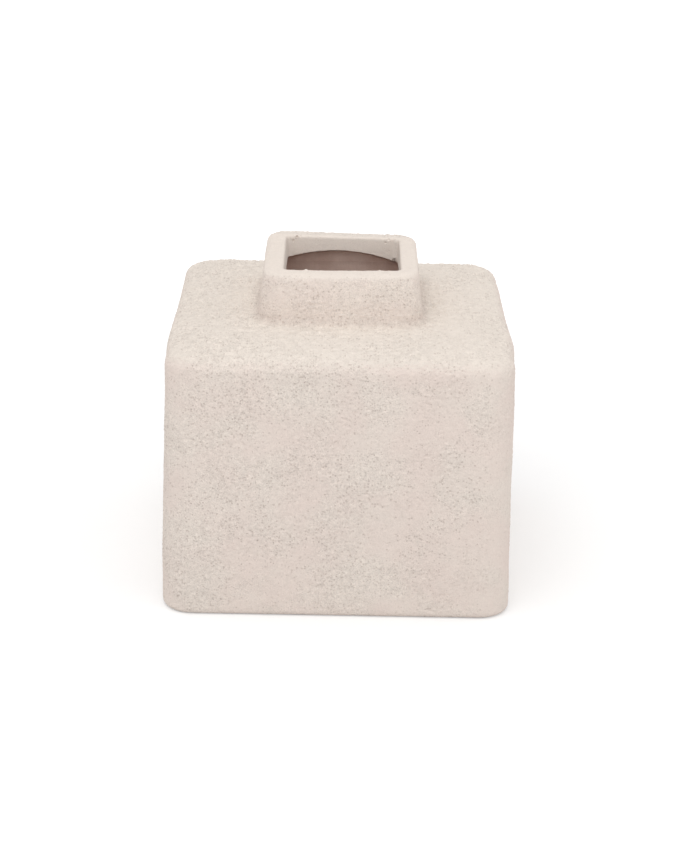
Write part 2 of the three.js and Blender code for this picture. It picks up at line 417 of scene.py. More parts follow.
@dataclass(frozen=True)
class HandWork:
    """How far a surface worked by hand departs from a ruled one."""

    sway: Relief = Relief(62 * MM, 0.45 * MM)
    lump: Relief = Relief(15 * MM, 0.22 * MM, (7.1, 3.3, 1.9))
    grit: Relief = Relief(0.88 * MM, 0.32 * MM, (2.7, 9.2, 5.4))
    ripple: Relief = Relief(1.95 * MM, 0.48 * MM, (5.5, 0.7, 8.1))
    ripple_slopes: Ends = (0.3, 0.9)
    dent: Relief = Relief(0.95 * MM, shift=(1.3, 6.5, 3.8))
    dent_ends: Ends = (0.15, 0.55)
    dent_depth: float = 0.26 * MM
    patch: Relief = Relief(21 * MM, shift=(4.4, 8.8, 0.6))
    patch_ends: Ends = (-0.15, 0.30)
    bare_grit: float = 0.45
    lip: WipedLip = WipedLip()
    wiped_grit: float = 0.25
    missed: float = 0.6
    mouth_half: float = 28 * MM
    mouth_bottom: float = 130 * MM
    foot_calm: float = 3 * MM
    twist: float = 0.6 * MM
    sag: float = 0.35 * MM
    sag_ends: Ends = (0.5, 0.9)
    bulge_right: float = 1.4 * MM
    bulge_left: float = 0.8 * MM
    bulge_low: float = 55 * MM
    bulge_high: float = 112 * MM
    bulge_near: float = -58 * MM
    bulge_mid: float = -36 * MM
    bulge_far: float = 8 * MM
    back_right: float = 1.0 * MM

    def wiped(self, place: Vector) -> float:
        """How smooth the clay was wiped.

        Args:
            place: Point on the ruled surface.

        Returns:
            Up to 1 on the lip and in the mouth.
        """
        wiped = smooth_step(self.lip.low, self.lip.high, place.z)
        if place.z > self.mouth_bottom and max(abs(place.x), abs(place.y)) < self.mouth_half:
            wiped = 1.0
        return wiped * (1 - self.missed * smooth_step(*self.lip.far, place.y))

    def lift(self, place: Vector, upward: float) -> float:
        """How far the surface stands out at a place.

        Args:
            place: Point on the ruled surface.
            upward: How far the surface faces up there, from -1 to 1.

        Returns:
            Distance along the outward normal.
        """
        settled = smooth_step(0.0, self.foot_calm, place.z)
        if settled == 0.0:
            return 0.0
        wiped = self.wiped(place)
        patch = smooth_step(*self.patch_ends, self.patch.at(place))
        dent = smooth_step(*self.dent_ends, self.dent.at(place))
        sandy = self.bare_grit + (1 - self.bare_grit) * patch
        rough = (self.grit.at(place) - self.dent_depth * dent) * sandy
        rough += self.ripple.at(place) * smooth_step(*self.ripple_slopes, upward)
        slow = self.sway.at(place) + self.lump.at(place)
        return (slow + rough * (1 - wiped + self.wiped_grit * wiped)) * settled

    def warp(self, place: Vector) -> Vector:
        """How far the clay has moved out of true at a place.

        Args:
            place: Point on the ruled surface.

        Returns:
            Move that tips the rim, sags its front and bulges the side walls under the shoulder.
        """
        neck = smooth_step(NECK_FOOT, RIM, place.z)
        across, along = place.x / RIM_HALF, place.y / RIM_HALF
        front = smooth_step(*self.sag_ends, -along)
        rise = -self.twist * across * along - self.sag * (1 - across * across) * front
        bulge = self.bulge_right if place.x > 0 else self.bulge_left
        out = bulge * smooth_step(self.bulge_near, self.bulge_mid, place.y)
        out *= 1 - smooth_step(self.bulge_mid, self.bulge_far, place.y)
        if place.x > 0:
            out -= self.back_right * smooth_step(self.bulge_far, SHOULDER_HALF, place.y)
        high = smooth_step(self.bulge_low, self.bulge_high, place.z)
        out *= high * place.x / SHOULDER_HALF * (1 - neck)
        return Vector((out, 0, rise * neck))

    def work(self, skin: Mesh) -> None:
        """Move every point of a skin along its normal.

        Args:
            skin: Closed skin with outward normals.
        """
        skin.normal_update()
        moves = [v.normal * self.lift(v.co, v.normal.z) + self.warp(v.co) for v in skin.verts]
        for vert, move in zip(skin.verts, moves):
            vert.co += move
            if vert.co.z < 0.0:
                vert.co.z = 0.0


@dataclass(frozen=True)
class Cloud:
    """Shader noise with features of about one span."""

    span: float
    detail: float
    roughness: float


@dataclass
class NodeBoard:
    """Small helper that lays out and links the nodes of one new material or world."""

    owner: Material | bpy.types.World

    def __post_init__(self) -> None:
        """Empty the tree."""
        self.owner.use_nodes = True
        self.owner.node_tree.nodes.clear()

    def add(self, kind: str, **settings: object) -> bpy.types.Node:
        """Add a node.

        Args:
            kind: Node type.
            settings: Properties of the node.

        Returns:
            The new node.
        """
        node = self.owner.node_tree.nodes.new(kind)
        for name, value in settings.items():
            setattr(node, name, value)
        return node

    def link(self, source: Socket, target: Socket) -> None:
        """Join an output to an input."""
        self.owner.node_tree.links.new(source, target)

    def math(self, operation: str, first: object, second: object = None) -> Socket:
        """A math node on sockets or numbers.

        Args:
            operation: Blender's name of the operation.
            first: Socket or number.
            second: Socket or number, if the operation takes two.

        Returns:
            The node's output.
        """
        node = self.add("ShaderNodeMath", operation=operation)
        for slot, value in enumerate((first, second)):
            if isinstance(value, Socket):
                self.link(value, node.inputs[slot])
            elif value is not None:
                node.inputs[slot].default_value = value
        return node.outputs[0]

    def times(self, first: object, second: object) -> Socket:
        """Product of two sockets or numbers."""
        return self.math("MULTIPLY", first, second)

    def ease(self, value: Socket, low: float, high: float, to_low: float = 0.0,
             to_high: float = 1.0) -> Socket:
        """Map a value smoothly from one range to another.

        Args:
            value: Socket to map.
            low: Value that maps to to_low, which may be the larger one.
            high: Value that maps to to_high.
            to_low: Result at the low value.
            to_high: Result at the high value.

        Returns:
            The mapped output.
        """
        node = self.add("ShaderNodeMapRange", interpolation_type="SMOOTHSTEP")
        self.link(value, node.inputs["Value"])
        node.inputs["From Min"].default_value = low
        node.inputs["From Max"].default_value = high
        node.inputs["To Min"].default_value = to_low
        node.inputs["To Max"].default_value = to_high
        return node.outputs["Result"]

    def spread(self, share: Socket, ends: Ends) -> Socket:
        """Map a share from 0 to 1 smoothly to the span between two ends."""
        return self.ease(share, 0.0, 1.0, *ends)

    def parts(self, vector: Socket) -> list[Socket]:
        """Take a vector apart.

        Args:
            vector: Socket with the vector.

        Returns:
            Its X, Y and Z.
        """
        node = self.add("ShaderNodeSeparateXYZ")
        self.link(vector, node.inputs["Vector"])
        return node.outputs[:]

    def noise(self, place: Socket, cloud: Cloud) -> Socket:
        """Noise of one kind.

        Args:
            place: Socket with the coordinates.
            cloud: Kind of noise.

        Returns:
            Output from 0 to 1.
        """
        node = self.add("ShaderNodeTexNoise")
        self.link(place, node.inputs["Vector"])
        node.inputs["Scale"].default_value = 1 / cloud.span
        node.inputs["Detail"].default_value = cloud.detail
        node.inputs["Roughness"].default_value = cloud.roughness
        return node.outputs["Fac"]

    def blend(self, share: Socket, first: object, second: object) -> Socket:
        """Mix two colours.

        Args:
            share: Socket that is 0 for the first colour and 1 for the second.
            first: Socket or colour.
            second: Socket or colour.

        Returns:
            The mixed colour's output.
        """
        node = self.add("ShaderNodeMix", data_type="RGBA")
        factor, *sockets = [s for s in node.inputs if s.enabled]
        self.link(share, factor)
        for socket, value in zip(sockets, (first, second)):
            if isinstance(value, Socket):
                self.link(value, socket)
            else:
                socket.default_value = (*value, 1.0)
        return next(s for s in node.outputs if s.enabled)

    def seen(self) -> Socket:
        """Tell the rays that look from those that light.

        Returns:
            Output that is 1 for the camera's rays and for those that metal or glass send on.
        """
        path = self.add("ShaderNodeLightPath")
        glossy, sent_through = path.outputs["Is Glossy Ray"], path.outputs["Is Transmission Ray"]
        sent_on = self.math("MAXIMUM", glossy, sent_through)
        return self.math("MAXIMUM", path.outputs["Is Camera Ray"], sent_on)

    def close(self, colour: Socket, height: Socket, roughness: float, specular: float) -> Material:
        """Finish the board with a dull shader whose relief is given in metres.

        Args:
            colour: Base colour's socket.
            height: Relief's socket.
            roughness: Roughness of the surface.
            specular: Specular level.

        Returns:
            The finished material.
        """
        bump = self.add("ShaderNodeBump")
        bump.inputs["Strength"].default_value = 1.0
        bump.inputs["Distance"].default_value = 1.0
        self.link(height, bump.inputs["Height"])
        shader = self.add("ShaderNodeBsdfPrincipled")
        shader.inputs["Roughness"].default_value = roughness
        shader.inputs["Specular IOR Level"].default_value = specular
        self.link(colour, shader.inputs["Base Color"])
        self.link(bump.outputs["Normal"], shader.inputs["Normal"])
        output = self.add("ShaderNodeOutputMaterial")
        self.link(shader.outputs["BSDF"], output.inputs["Surface"])
        return self.owner


@dataclass(frozen=True)
class Scatter:
    """Small round marks strewn over the coat, more of them in its sandy patches.

    A mark is full at the bowl's first distance and ends at its second, both in spans. The share
    says how many of the points are marks in a bare and in a sandy patch.
    """

    span: float
    bowl: Ends
    share: Ends
    sizes: Ends = (0.55, 1.25)

    def marks(self, board: "CoatBoard") -> Socket:
        """Strew the marks, fainter where the coat is smooth.

        Args:
            board: Board of the coat that they lie in.

        Returns:
            Output that is 1 in a mark and 0 outside.
        """
        points = board.add("ShaderNodeTexVoronoi")
        board.link(board.place, points.inputs["Vector"])
        points.inputs["Scale"].default_value = 1 / self.span
        chances = board.add("ShaderNodeSeparateColor")
        board.link(points.outputs["Color"], chances.inputs["Color"])
        size = board.spread(chances.outputs["Green"], self.sizes)
        distance = board.math("DIVIDE", points.outputs["Distance"], size)
        bowl = board.ease(distance, *self.bowl, 1.0, 0.0)
        limit = board.spread(board.patch, self.share)
        chosen = board.math("LESS_THAN", chances.outputs["Red"], limit)
        return board.times(board.times(bowl, chosen), board.rough)


@dataclass(frozen=True)
class SandyCoat:
    """Chalky matt coat with sandy pits, smoother on the lip and fuller of pits round the neck."""

    blush: Colour = (0.742, 0.639, 0.582)
    ash: Colour = (0.727, 0.653, 0.591)
    # Lighter tint on the faces that look up: painted light on the top faces.
    settled: Colour = (0.738, 0.668, 0.602)
    pale: Colour = (0.800, 0.722, 0.664)
    wiped: Colour = (0.755, 0.677, 0.612)
    pit_tint: Colour = (0.50, 0.415, 0.365)
    sand_tint: Colour = (0.88, 0.80, 0.73)
    mottle: Cloud = Cloud(26 * MM, 4.0, 0.6)
    mottle_ends: Ends = (0.35, 0.65)
    mottle_ash: float = 0.6
    mottle_tone: float = 0.016
    patch: Cloud = Cloud(21 * MM, 3.0, 0.55)
    patch_ends: Ends = (0.38, 0.62)
    patch_ash: float = 0.4
    patch_tone: Ends = (0.6, 1.25)
    lean_left: float = 0.05 / SHOULDER_HALF
    grain: Cloud = Cloud(0.62 * MM, 2.5, 0.65)
    grain_depth: float = 0.16 * MM
    grain_tone: Ends = (0.50, 0.36)
    clump: Cloud = Cloud(2.8 * MM, 1.0, 0.5)
    clump_tone: Ends = (0.15, 0.24)
    pits: Scatter = Scatter(1.15 * MM, (0.14, 0.42), (0.22, 0.72))
    pit_depth: float = 0.15 * MM
    # Pits are darker in the crease round the neck's foot: painted shade there.
    pit_dark_and_crease_shade: Ends = (0.50, 0.75)
    specks: Scatter = Scatter(0.70 * MM, (0.18, 0.48), (0.30, 0.60))
    speck_depth: float = 0.07 * MM
    speck_dark: float = 0.24
    sand: Scatter = Scatter(0.90 * MM, (0.12, 0.36), (0.12, 0.45))
    sand_light: float = 0.45
    top_slopes: Ends = (0.3, 0.95)
    lip: WipedLip = WipedLip()
    missed: float = 0.7
    wiped_grain: float = 0.30
    # Painted shade on the far lip and the back of the neck.
    far_lip_painted_shade: float = 0.05
    mouth_reach: Ends = (28.5 * MM, 27.2 * MM)
    mouth_low: Ends = (129 * MM, 131 * MM)
    edge_reach: Ends = (61 * MM, 69 * MM)
    edge_rubbed: float = 0.55
    neck_from: float = 124 * MM
    # Painted light: the neck is painted paler towards the lip, for light thrown back onto it from the
    # shoulder.
    neck_pale: float = 0.30
    # Painted light and shade: darker at the foot and lighter towards the shoulder, as light from above
    # falls.
    foot_painted_shade: float = 0.988
    shoulder_painted_light: float = 1.016
    shoulder_height: float = SHOULDER_HEIGHT
    core_half: float = 25.5 * MM
    ring_low: Ends = (119 * MM, 121 * MM)
    crease_reach: Ends = (41.0 * MM, 36.3 * MM)
    crease_high: Ends = (127 * MM, 122 * MM)
    # Painted shade: the crease round the neck's foot is darkened.
    crease_painted_shade: float = 0.46
    # Painted light round the neck's foot, which lifts the shade that falls there.
    collar_reach: Ends = (54 * MM, 43 * MM)
    collar_high: Ends = (125 * MM, 122.5 * MM)
    collar_painted_light: float = 0.028
    roughness: float = 0.92
    specular: float = 0.18

    def material(self) -> Material:
        """Build the coat's material."""
        board = CoatBoard(bpy.data.materials.new("sandy_coat"), self)
        return board.close(board.colour, board.height, self.roughness, self.specular)


@dataclass
class CoatBoard(NodeBoard):
    """Board on which the sandy coat is mixed, with its sockets as properties."""

    coat: SandyCoat
    place: Socket = field(init=False)
    across: Socket = field(init=False)
    along: Socket = field(init=False)
    level: Socket = field(init=False)
    upward: Socket = field(init=False)

    def __post_init__(self) -> None:
        """Empty the tree and find where a point of the coat lies and how far it faces up."""
        super().__post_init__()
        source = self.add("ShaderNodeTexCoord")
        self.place = source.outputs["Object"]
        self.across, self.along, self.level = self.parts(self.place)
        self.upward = self.ease(self.parts(source.outputs["Normal"])[2], *self.coat.top_slopes)

    @cached_property
    def reach(self) -> Socket:
        """Distance from the axis, measured square with the neck's rounded corners."""
        core = (self.coat.core_half, self.coat.core_half, 1.0)
        none = (0.0, 0.0, 0.0)
        place = self.place
        for operation, operand in (("ABSOLUTE", none), ("SUBTRACT", core), ("MAXIMUM", none)):
            step = self.add("ShaderNodeVectorMath", operation=operation)
            self.link(place, step.inputs[0])
            step.inputs[1].default_value = operand
            place = step.outputs["Vector"]
        past = self.add("ShaderNodeVectorMath", operation="LENGTH")
        self.link(place, past.inputs[0])
        return self.math("ADD", past.outputs["Value"], self.coat.core_half)

    @cached_property
    def wiped(self) -> Socket:
        """How smooth the coat was wiped: the lip and the mouth, the far lip less so."""
        lip, missed = self.coat.lip, self.coat.missed
        mouth = self.times(self.ease(self.reach, *self.coat.mouth_reach),
                           self.ease(self.level, *self.coat.mouth_low))
        wiped = self.math("MAXIMUM", self.ease(self.level, lip.low, lip.high), mouth)
        return self.times(wiped, self.ease(self.along, *lip.far, 1.0, 1.0 - missed))

    @cached_property
    def rough(self) -> Socket:
        """How rough the coat was left: less where it was wiped and on its rubbed right-hand edges."""
        rough = self.math("SUBTRACT", 1.0, self.times(self.wiped, 1.0 - self.coat.wiped_grain))
        edge = self.math("MINIMUM", self.across, self.math("ABSOLUTE", self.along))
        return self.times(rough, self.ease(edge, *self.coat.edge_reach, 1.0, 1.0 - self.coat.edge_rubbed))

    @cached_property
    def neck(self) -> Socket:
        """How far up the neck a point lies, from 0 near its foot to 1 on the lip."""
        return self.ease(self.level, self.coat.neck_from, self.coat.lip.high)

    @cached_property
    def crease(self) -> Socket:
        """The crease round the neck's foot."""
        return self.ring(self.coat.crease_reach, self.coat.crease_high)

    @cached_property
    def patch(self) -> Socket:
        """Where the coat is sandy: in patches, more of them to the left, and in the crease."""
        leaning = self.times(self.across, self.coat.lean_left)
        patch = self.math("SUBTRACT", self.noise(self.place, self.coat.patch), leaning)
        return self.math("MAXIMUM", self.ease(patch, *self.coat.patch_ends), self.crease)

    @cached_property
    def mottle(self) -> Socket:
        """Broad mottling."""
        return self.ease(self.noise(self.place, self.coat.mottle), *self.coat.mottle_ends)

    @cached_property
    def grain(self) -> Socket:
        """Fine grain."""
        return self.noise(self.place, self.coat.grain)

    @cached_property
    def pits(self) -> Socket:
        """Pits that the sand has left."""
        return self.coat.pits.marks(self)

    @cached_property
    def specks(self) -> Socket:
        """Dark specks."""
        return self.coat.specks.marks(self)

    @cached_property
    def tone(self) -> Socket:
        """Light and dark of the grain and its clumps, stronger in the sandy patches."""
        clump = self.math("SUBTRACT", self.noise(self.place, self.coat.clump), NOISE_MIDDLE)
        clump = self.times(clump, self.spread(self.upward, self.coat.clump_tone))
        grain = self.math("SUBTRACT", self.grain, NOISE_MIDDLE)
        grain = self.times(grain, self.spread(self.upward, self.coat.grain_tone))
        tone = self.times(self.math("ADD", grain, clump), self.spread(self.patch, self.coat.patch_tone))
        return self.times(tone, self.rough)

    @cached_property
    def cover_and_painted_light(self) -> Socket:
        """Brightness of the coat: broad mottling, painted light towards the shoulder and round the neck's
        foot, painted shade on the far lip.
        """
        coat = self.coat
        # Painted shade at the foot and painted light towards the shoulder.
        cover_and_painted_light = self.ease(self.level, 0.0, coat.shoulder_height, coat.foot_painted_shade, coat.shoulder_painted_light)
        mottle = self.math("SUBTRACT", self.mottle, NOISE_MIDDLE)
        cover_and_painted_light = self.math("ADD", cover_and_painted_light, self.times(mottle, coat.mottle_tone))
        # Painted shade on the far lip.
        far_lip = self.times(self.ease(self.along, *coat.lip.far), self.neck)
        cover_and_painted_light = self.math("SUBTRACT", cover_and_painted_light, self.times(far_lip, coat.far_lip_painted_shade))
        # Painted light round the neck's foot.
        collar = self.ring(coat.collar_reach, coat.collar_high)
        return self.math("ADD", cover_and_painted_light, self.times(collar, coat.collar_painted_light))

    @cached_property
    def colour(self) -> Socket:
        """Colour of the coat with its pits, specks and sand, and painted light on its top faces and up
        the neck and painted shade in the crease.
        """
        coat = self.coat
        ashen = self.math("ADD", self.times(self.mottle, coat.mottle_ash),
                          self.times(self.patch, coat.patch_ash))
        sand = coat.sand.marks(self)
        pit_dark_and_crease_shade = self.spread(self.crease, coat.pit_dark_and_crease_shade)
        colour = self.blend(ashen, coat.blush, coat.ash)
        # Painted light: the faces that look up take the lighter settled tint.
        for share, tint in ((self.upward, coat.settled),
                            # Painted light up the neck.
                            (self.times(self.neck, coat.neck_pale), coat.pale),
                            (self.wiped, coat.wiped),
                            # Painted shade in the crease round the neck's foot.
                            (self.times(self.crease, coat.crease_painted_shade), coat.pit_tint),
                            (self.times(sand, coat.sand_light), coat.sand_tint),
                            (self.times(self.specks, coat.speck_dark), coat.pit_tint),
                            (self.times(self.pits, pit_dark_and_crease_shade), coat.pit_tint)):
            colour = self.blend(share, colour, tint)
        shaded = self.add("ShaderNodeVectorMath", operation="SCALE")
        self.link(colour, shaded.inputs["Vector"])
        self.link(self.math("ADD", self.tone, self.cover_and_painted_light), shaded.inputs["Scale"])
        return shaded.outputs["Vector"]

    @cached_property
    def height(self) -> Socket:
        """Relief of the grain, the pits and the specks, in metres."""
        height = self.times(self.grain, self.coat.grain_depth)
        height = self.math("SUBTRACT", height, self.times(self.pits, self.coat.pit_depth))
        return self.math("SUBTRACT", height, self.times(self.specks, self.coat.speck_depth))

    def ring(self, wide: Ends, high: Ends) -> Socket:
        """A soft ring round the neck's foot, from the distances and heights where it ends and is full."""
        near, above = self.ease(self.reach, *wide), self.ease(self.level, *self.coat.ring_low)
        return self.times(near, self.times(above, self.ease(self.level, *high)))


@dataclass(frozen=True)
class BareClay:
    """Bare fired clay inside the vase, dull and a little darker than the coat."""

    pale: Colour = (0.77, 0.60, 0.525)
    dark: Colour = (0.67, 0.495, 0.425)
    mottle: Cloud = Cloud(12 * MM, 4.0, 0.6)
    mottle_ends: Ends = (0.35, 0.65)
    grain: Cloud = Cloud(0.8 * MM, 3.0, 0.6)
    grain_depth: float = 0.16 * MM
    fleck_ends: Ends = (0.55, 0.75)
    fleck_dark: float = 0.5
    roughness: float = 0.95
    specular: float = 0.12

    def material(self) -> Material:
        """Build the clay's material.

        Returns:
            The finished material.
        """
        board = NodeBoard(bpy.data.materials.new("bare_clay"))
        place = board.add("ShaderNodeTexCoord").outputs["Object"]
        mottle = board.ease(board.noise(place, self.mottle), *self.mottle_ends)
        grain = board.noise(place, self.grain)
        colour = board.blend(mottle, self.pale, self.dark)
        flecks = board.ease(grain, *self.fleck_ends, 0.0, self.fleck_dark)
        colour = board.blend(flecks, colour, self.dark)
        return board.close(colour, board.times(grain, self.grain_depth), self.roughness, self.specular)


@dataclass
class Dresser:
    """Turns finished meshes into pieces that ride on the vase and stand for its solids."""

    coat: Material
    clay: Material

    def piece(self, solid: Mesh, name: str, slot: str, nodes: tuple[str, ...]) -> None:
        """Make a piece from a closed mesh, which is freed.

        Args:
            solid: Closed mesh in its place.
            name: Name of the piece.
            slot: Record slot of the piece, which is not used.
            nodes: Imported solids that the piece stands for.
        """
        mesh = bpy.data.meshes.new(name)
        bmesh.ops.recalc_face_normals(solid, faces=solid.faces)
        solid.to_mesh(mesh)
        solid.free()
        mesh.materials.append(self.coat)
        mesh.materials.append(self.clay)
        made = put(mesh, name)
        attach(made, ROOT_BODY)
        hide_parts(*nodes)
        LOG.info("%s: %d faces, stands for %s", name, len(mesh.polygons), ", ".join(nodes))


@dataclass
class Body:
    """Base, walls and shoulder, from the foot to the flat that carries the neck."""

    foot_half: float = 77 * MM
    shoulder_half: float = SHOULDER_HALF
    shoulder_height: float = SHOULDER_HEIGHT
    crown_rise: float = 4.5 * MM
    crown_flat: float = 42.1 * MM
    upright_radius: float = 14 * MM
    shoulder_radius: float = 5 * MM
    foot_radius: float = 2.5 * MM
    wall: float = 8 * MM
    floor: float = 9.6 * MM
    shoulder: float = 9 * MM
    channel_half: float = 30 * MM
    channel_top: float = 133 * MM
    crown_steps: int = 8
    corner_steps: int = 10
    shoulder_steps: int = 6
    foot_steps: int = 4
    room_steps: int = 4

    def crown(self, half: float) -> float:
        """Height of the crown over a square of the given half width."""
        outward = (half - self.crown_flat) / (self.shoulder_half - self.crown_flat)
        return self.shoulder_height + self.crown_rise * (1 - outward * outward)

    def swell(self, block: Mesh, half: float) -> Face:
        """Raise a block's top face into the crown.

        Args:
            block: Block to raise.
            half: Half width of its top face.

        Returns:
            The flat face at the top of the crown.
        """
        top = highest_face(block)
        here = half
        for step in range(1, self.crown_steps + 1):
            there = half + (self.crown_flat - half) * step / self.crown_steps
            top = raise_face(block, top, here, there, self.crown(there) - self.crown(here))
            here = there
        return top

    def outside(self) -> Mesh:
        """Shape the whole outside of the body.

        Returns:
            One closed block.
        """
        block = rounded_block(self.foot_half, self.shoulder_half, self.upright_radius, 0.0,
                              self.shoulder_height, self.corner_steps)
        self.swell(block, self.shoulder_half)
        block.normal_update()
        shoulder = level_loop(block, self.shoulder_height, self.shoulder_half)
        soften(block, shoulder, self.shoulder_radius, self.shoulder_steps)
        block.normal_update()
        soften(block, level_loop(block, 0.0, self.foot_half), self.foot_radius, self.foot_steps)
        return block

    def room(self) -> Mesh:
        """Shape the room inside, with the channel that leads up through the neck.

        Returns:
            One closed block.
        """
        low = self.foot_half - self.wall
        high = self.shoulder_half - self.wall
        ceiling = self.crown(high) - self.shoulder
        block = rounded_block(low, high, self.upright_radius - self.wall, self.floor, ceiling,
                              self.room_steps)
        top = self.swell(block, high)
        top = raise_face(block, top, self.crown_flat, self.channel_half, 0.0)
        height = self.channel_top - (self.crown(self.crown_flat) - self.shoulder)
        raise_face(block, top, self.channel_half, self.channel_half, height)
        return block


@dataclass
class Neck:
    """Neck with the square mouth sunk in its lip, and the coil smoothed round its foot."""

    foot: float = NECK_FOOT
    rim: float = RIM
    buried: float = 114 * MM
    foot_half: float = 36 * MM
    rim_half: float = RIM_HALF
    upright_radius: float = 10.5 * MM
    rim_radius: float = 2.3 * MM
    mouth_half: float = 26.25 * MM
    mouth_draft: float = 1.5 / 11
    mouth_depth: float = 13 * MM
    mouth_edge: float = 0.9 * MM
    back_lip: float = 1.2 * MM
    left_lip: float = 0.6 * MM
    right_flare: float = 0.9 * MM
    flare_drop: float = 1 * MM
    coil: float = 4.6 * MM
    coil_seat: float = 0.5 * MM
    corner_steps: int = 10
    coil_steps: int = 8
    rim_steps: int = 5
    mouth_steps: int = 3
    well_reach: float = 1.01
    rim_least: float = 1.1
    crumb_places: tuple[Ball, ...] = (
        (-15.4, -26.3, 143.7, 0.7), (16.8, -26.3, 143.6, 0.6), (-9.0, -26.5, 143.4, 0.6),
        (4.5, -26.4, 143.3, 0.6), (-20.8, 25.5, 143.2, 1.0), (8.0, 25.5, 143.2, 0.8),
        (25.5, 24.5, 142.3, 0.9), (25.4, 24.3, 141.2, 0.8), (25.5, 24.2, 140.1, 1.0),
        (25.3, 24.1, 138.9, 0.8), (25.3, 23.9, 137.8, 0.9), (25.2, 23.8, 136.7, 0.8),
        (25.1, 23.6, 135.6, 0.9))

    def half(self, height: float) -> float:
        """Half the neck's width at a height."""
        share = (height - self.foot) / (self.rim - self.foot)
        return self.foot_half + (self.rim_half - self.foot_half) * share

    def outside(self) -> Mesh:
        """Shape the neck with the mouth sunk in it.

        Returns:
            One closed block that reaches down into the body.
        """
        block = rounded_block(self.half(self.buried), self.rim_half, self.upright_radius, self.buried,
                              self.rim, self.corner_steps)
        top = highest_face(block)
        bmesh.ops.inset_region(block, faces=[top], thickness=self.rim_half - self.mouth_half,
                               use_even_offset=True)
        floor_half = self.mouth_half - self.mouth_draft * self.mouth_depth
        raise_face(block, top, self.mouth_half, floor_half, -self.mouth_depth)
        inside = self.mouth_half * self.well_reach
        well = {v for v in block.verts if max(abs(v.co.x), abs(v.co.y)) < inside}
        bmesh.ops.translate(block, vec=(0, -self.back_lip, 0), verts=[v for v in well if v.co.y > 0])
        bmesh.ops.translate(block, vec=(self.left_lip, 0, 0), verts=[v for v in well if v.co.x < 0])
        low_right = [v for v in well if v.co.x > 0 and v.co.z < self.rim - self.flare_drop]
        bmesh.ops.translate(block, vec=(self.right_flare, 0, 0), verts=low_right)
        block.normal_update()
        rings = level_loop(block, self.rim, self.rim_half)
        inner = [e for e in rings if all(v in well for v in e.verts)]
        soften(block, inner, self.mouth_edge, self.mouth_steps)
        block.normal_update()
        outer = level_loop(block, self.rim, self.rim_half, self.mouth_half * self.rim_least)
        soften(block, outer, self.rim_radius, self.rim_steps)
        return block

    def crumbs(self) -> Mesh:
        """Small crumbs of clay left on the mouth's edges and in its corners."""
        return small_balls(self.crumb_places)

    def skirt(self) -> Mesh:
        """Shape the coil round the neck's foot as a solid skirt that the neck stands in.

        Returns:
            One closed block, hollow outside.
        """
        top = self.foot + self.coil
        here, level = self.half(top) + self.coil, self.foot
        block = rounded_block(here, here, self.upright_radius + self.coil, self.buried, level,
                              self.corner_steps)
        face = highest_face(block)
        for step in range(1, self.coil_steps + 1):
            angle = step / self.coil_steps * math.pi / 2
            there = self.half(top) + self.coil * (1 - math.sin(angle))
            height = top - self.coil * math.cos(angle)
            face = raise_face(block, face, here, there, height - level)
            here, level = there, height
        return block

    def coil_seam(self) -> Mesh:
        """Shape the space that the coil fills.

        Returns:
            A closed ring, a little larger than the coil on every side.
        """
        top = self.foot + self.coil + self.coil_seat
        bottom = self.foot - self.coil_seat
        reach = self.half(self.foot + self.coil) + self.coil + self.coil_seat
        core = rounded_block(self.half(bottom) - self.coil_seat, self.half(top) - self.coil_seat,
                             self.upright_radius, bottom - PAST, top + PAST, self.corner_steps)
        paint(core, Surface.CLAY)
        ring = carve(cutting_block(reach, bottom, top), core)
        core.free()
        return ring


@dataclass
class Scoop:
    """Round hollow scooped up into the underside of the lip."""

    radius: float = 78 * MM
    centre: float = 63.6 * MM
    drift: float = -1.9 * MM
    shaft_half: float = 30 * MM
    bottom: float = 131 * MM
    segments: int = 180
    chip_places: tuple[Ball, ...] = (
        (24.3, 23.2, 133.4, 1.3), (-20.6, 24.8, 143.7, 0.7), (-22.4, 24.5, 142.0, 0.6),
        (-18.9, 25.0, 144.1, 0.6), (21.6, 24.8, 143.2, 0.8), (20.2, 24.7, 141.6, 0.5))

    def space(self) -> Mesh:
        """Shape the hollow.

        Returns:
            A closed block with a domed top.
        """
        ball = bmesh.new()
        bmesh.ops.create_uvsphere(ball, u_segments=self.segments, v_segments=self.segments // 2,
                                  radius=self.radius)
        bmesh.ops.translate(ball, vec=(self.drift, 0, self.centre), verts=ball.verts)
        paint(ball, Surface.CLAY, smooth=True)
        for side in Side:
            slice_off(ball, side.outward() * self.shaft_half, side.outward())
        level_cut(ball, self.bottom, keep_below=False)
        return ball

    def chips(self) -> Mesh:
        """Shape small chips broken out of the mouth's far edges.

        Returns:
            Closed balls that lie clear of each other.
        """
        balls = small_balls(self.chip_places)
        paint(balls, Surface.COAT, smooth=True)
        return balls


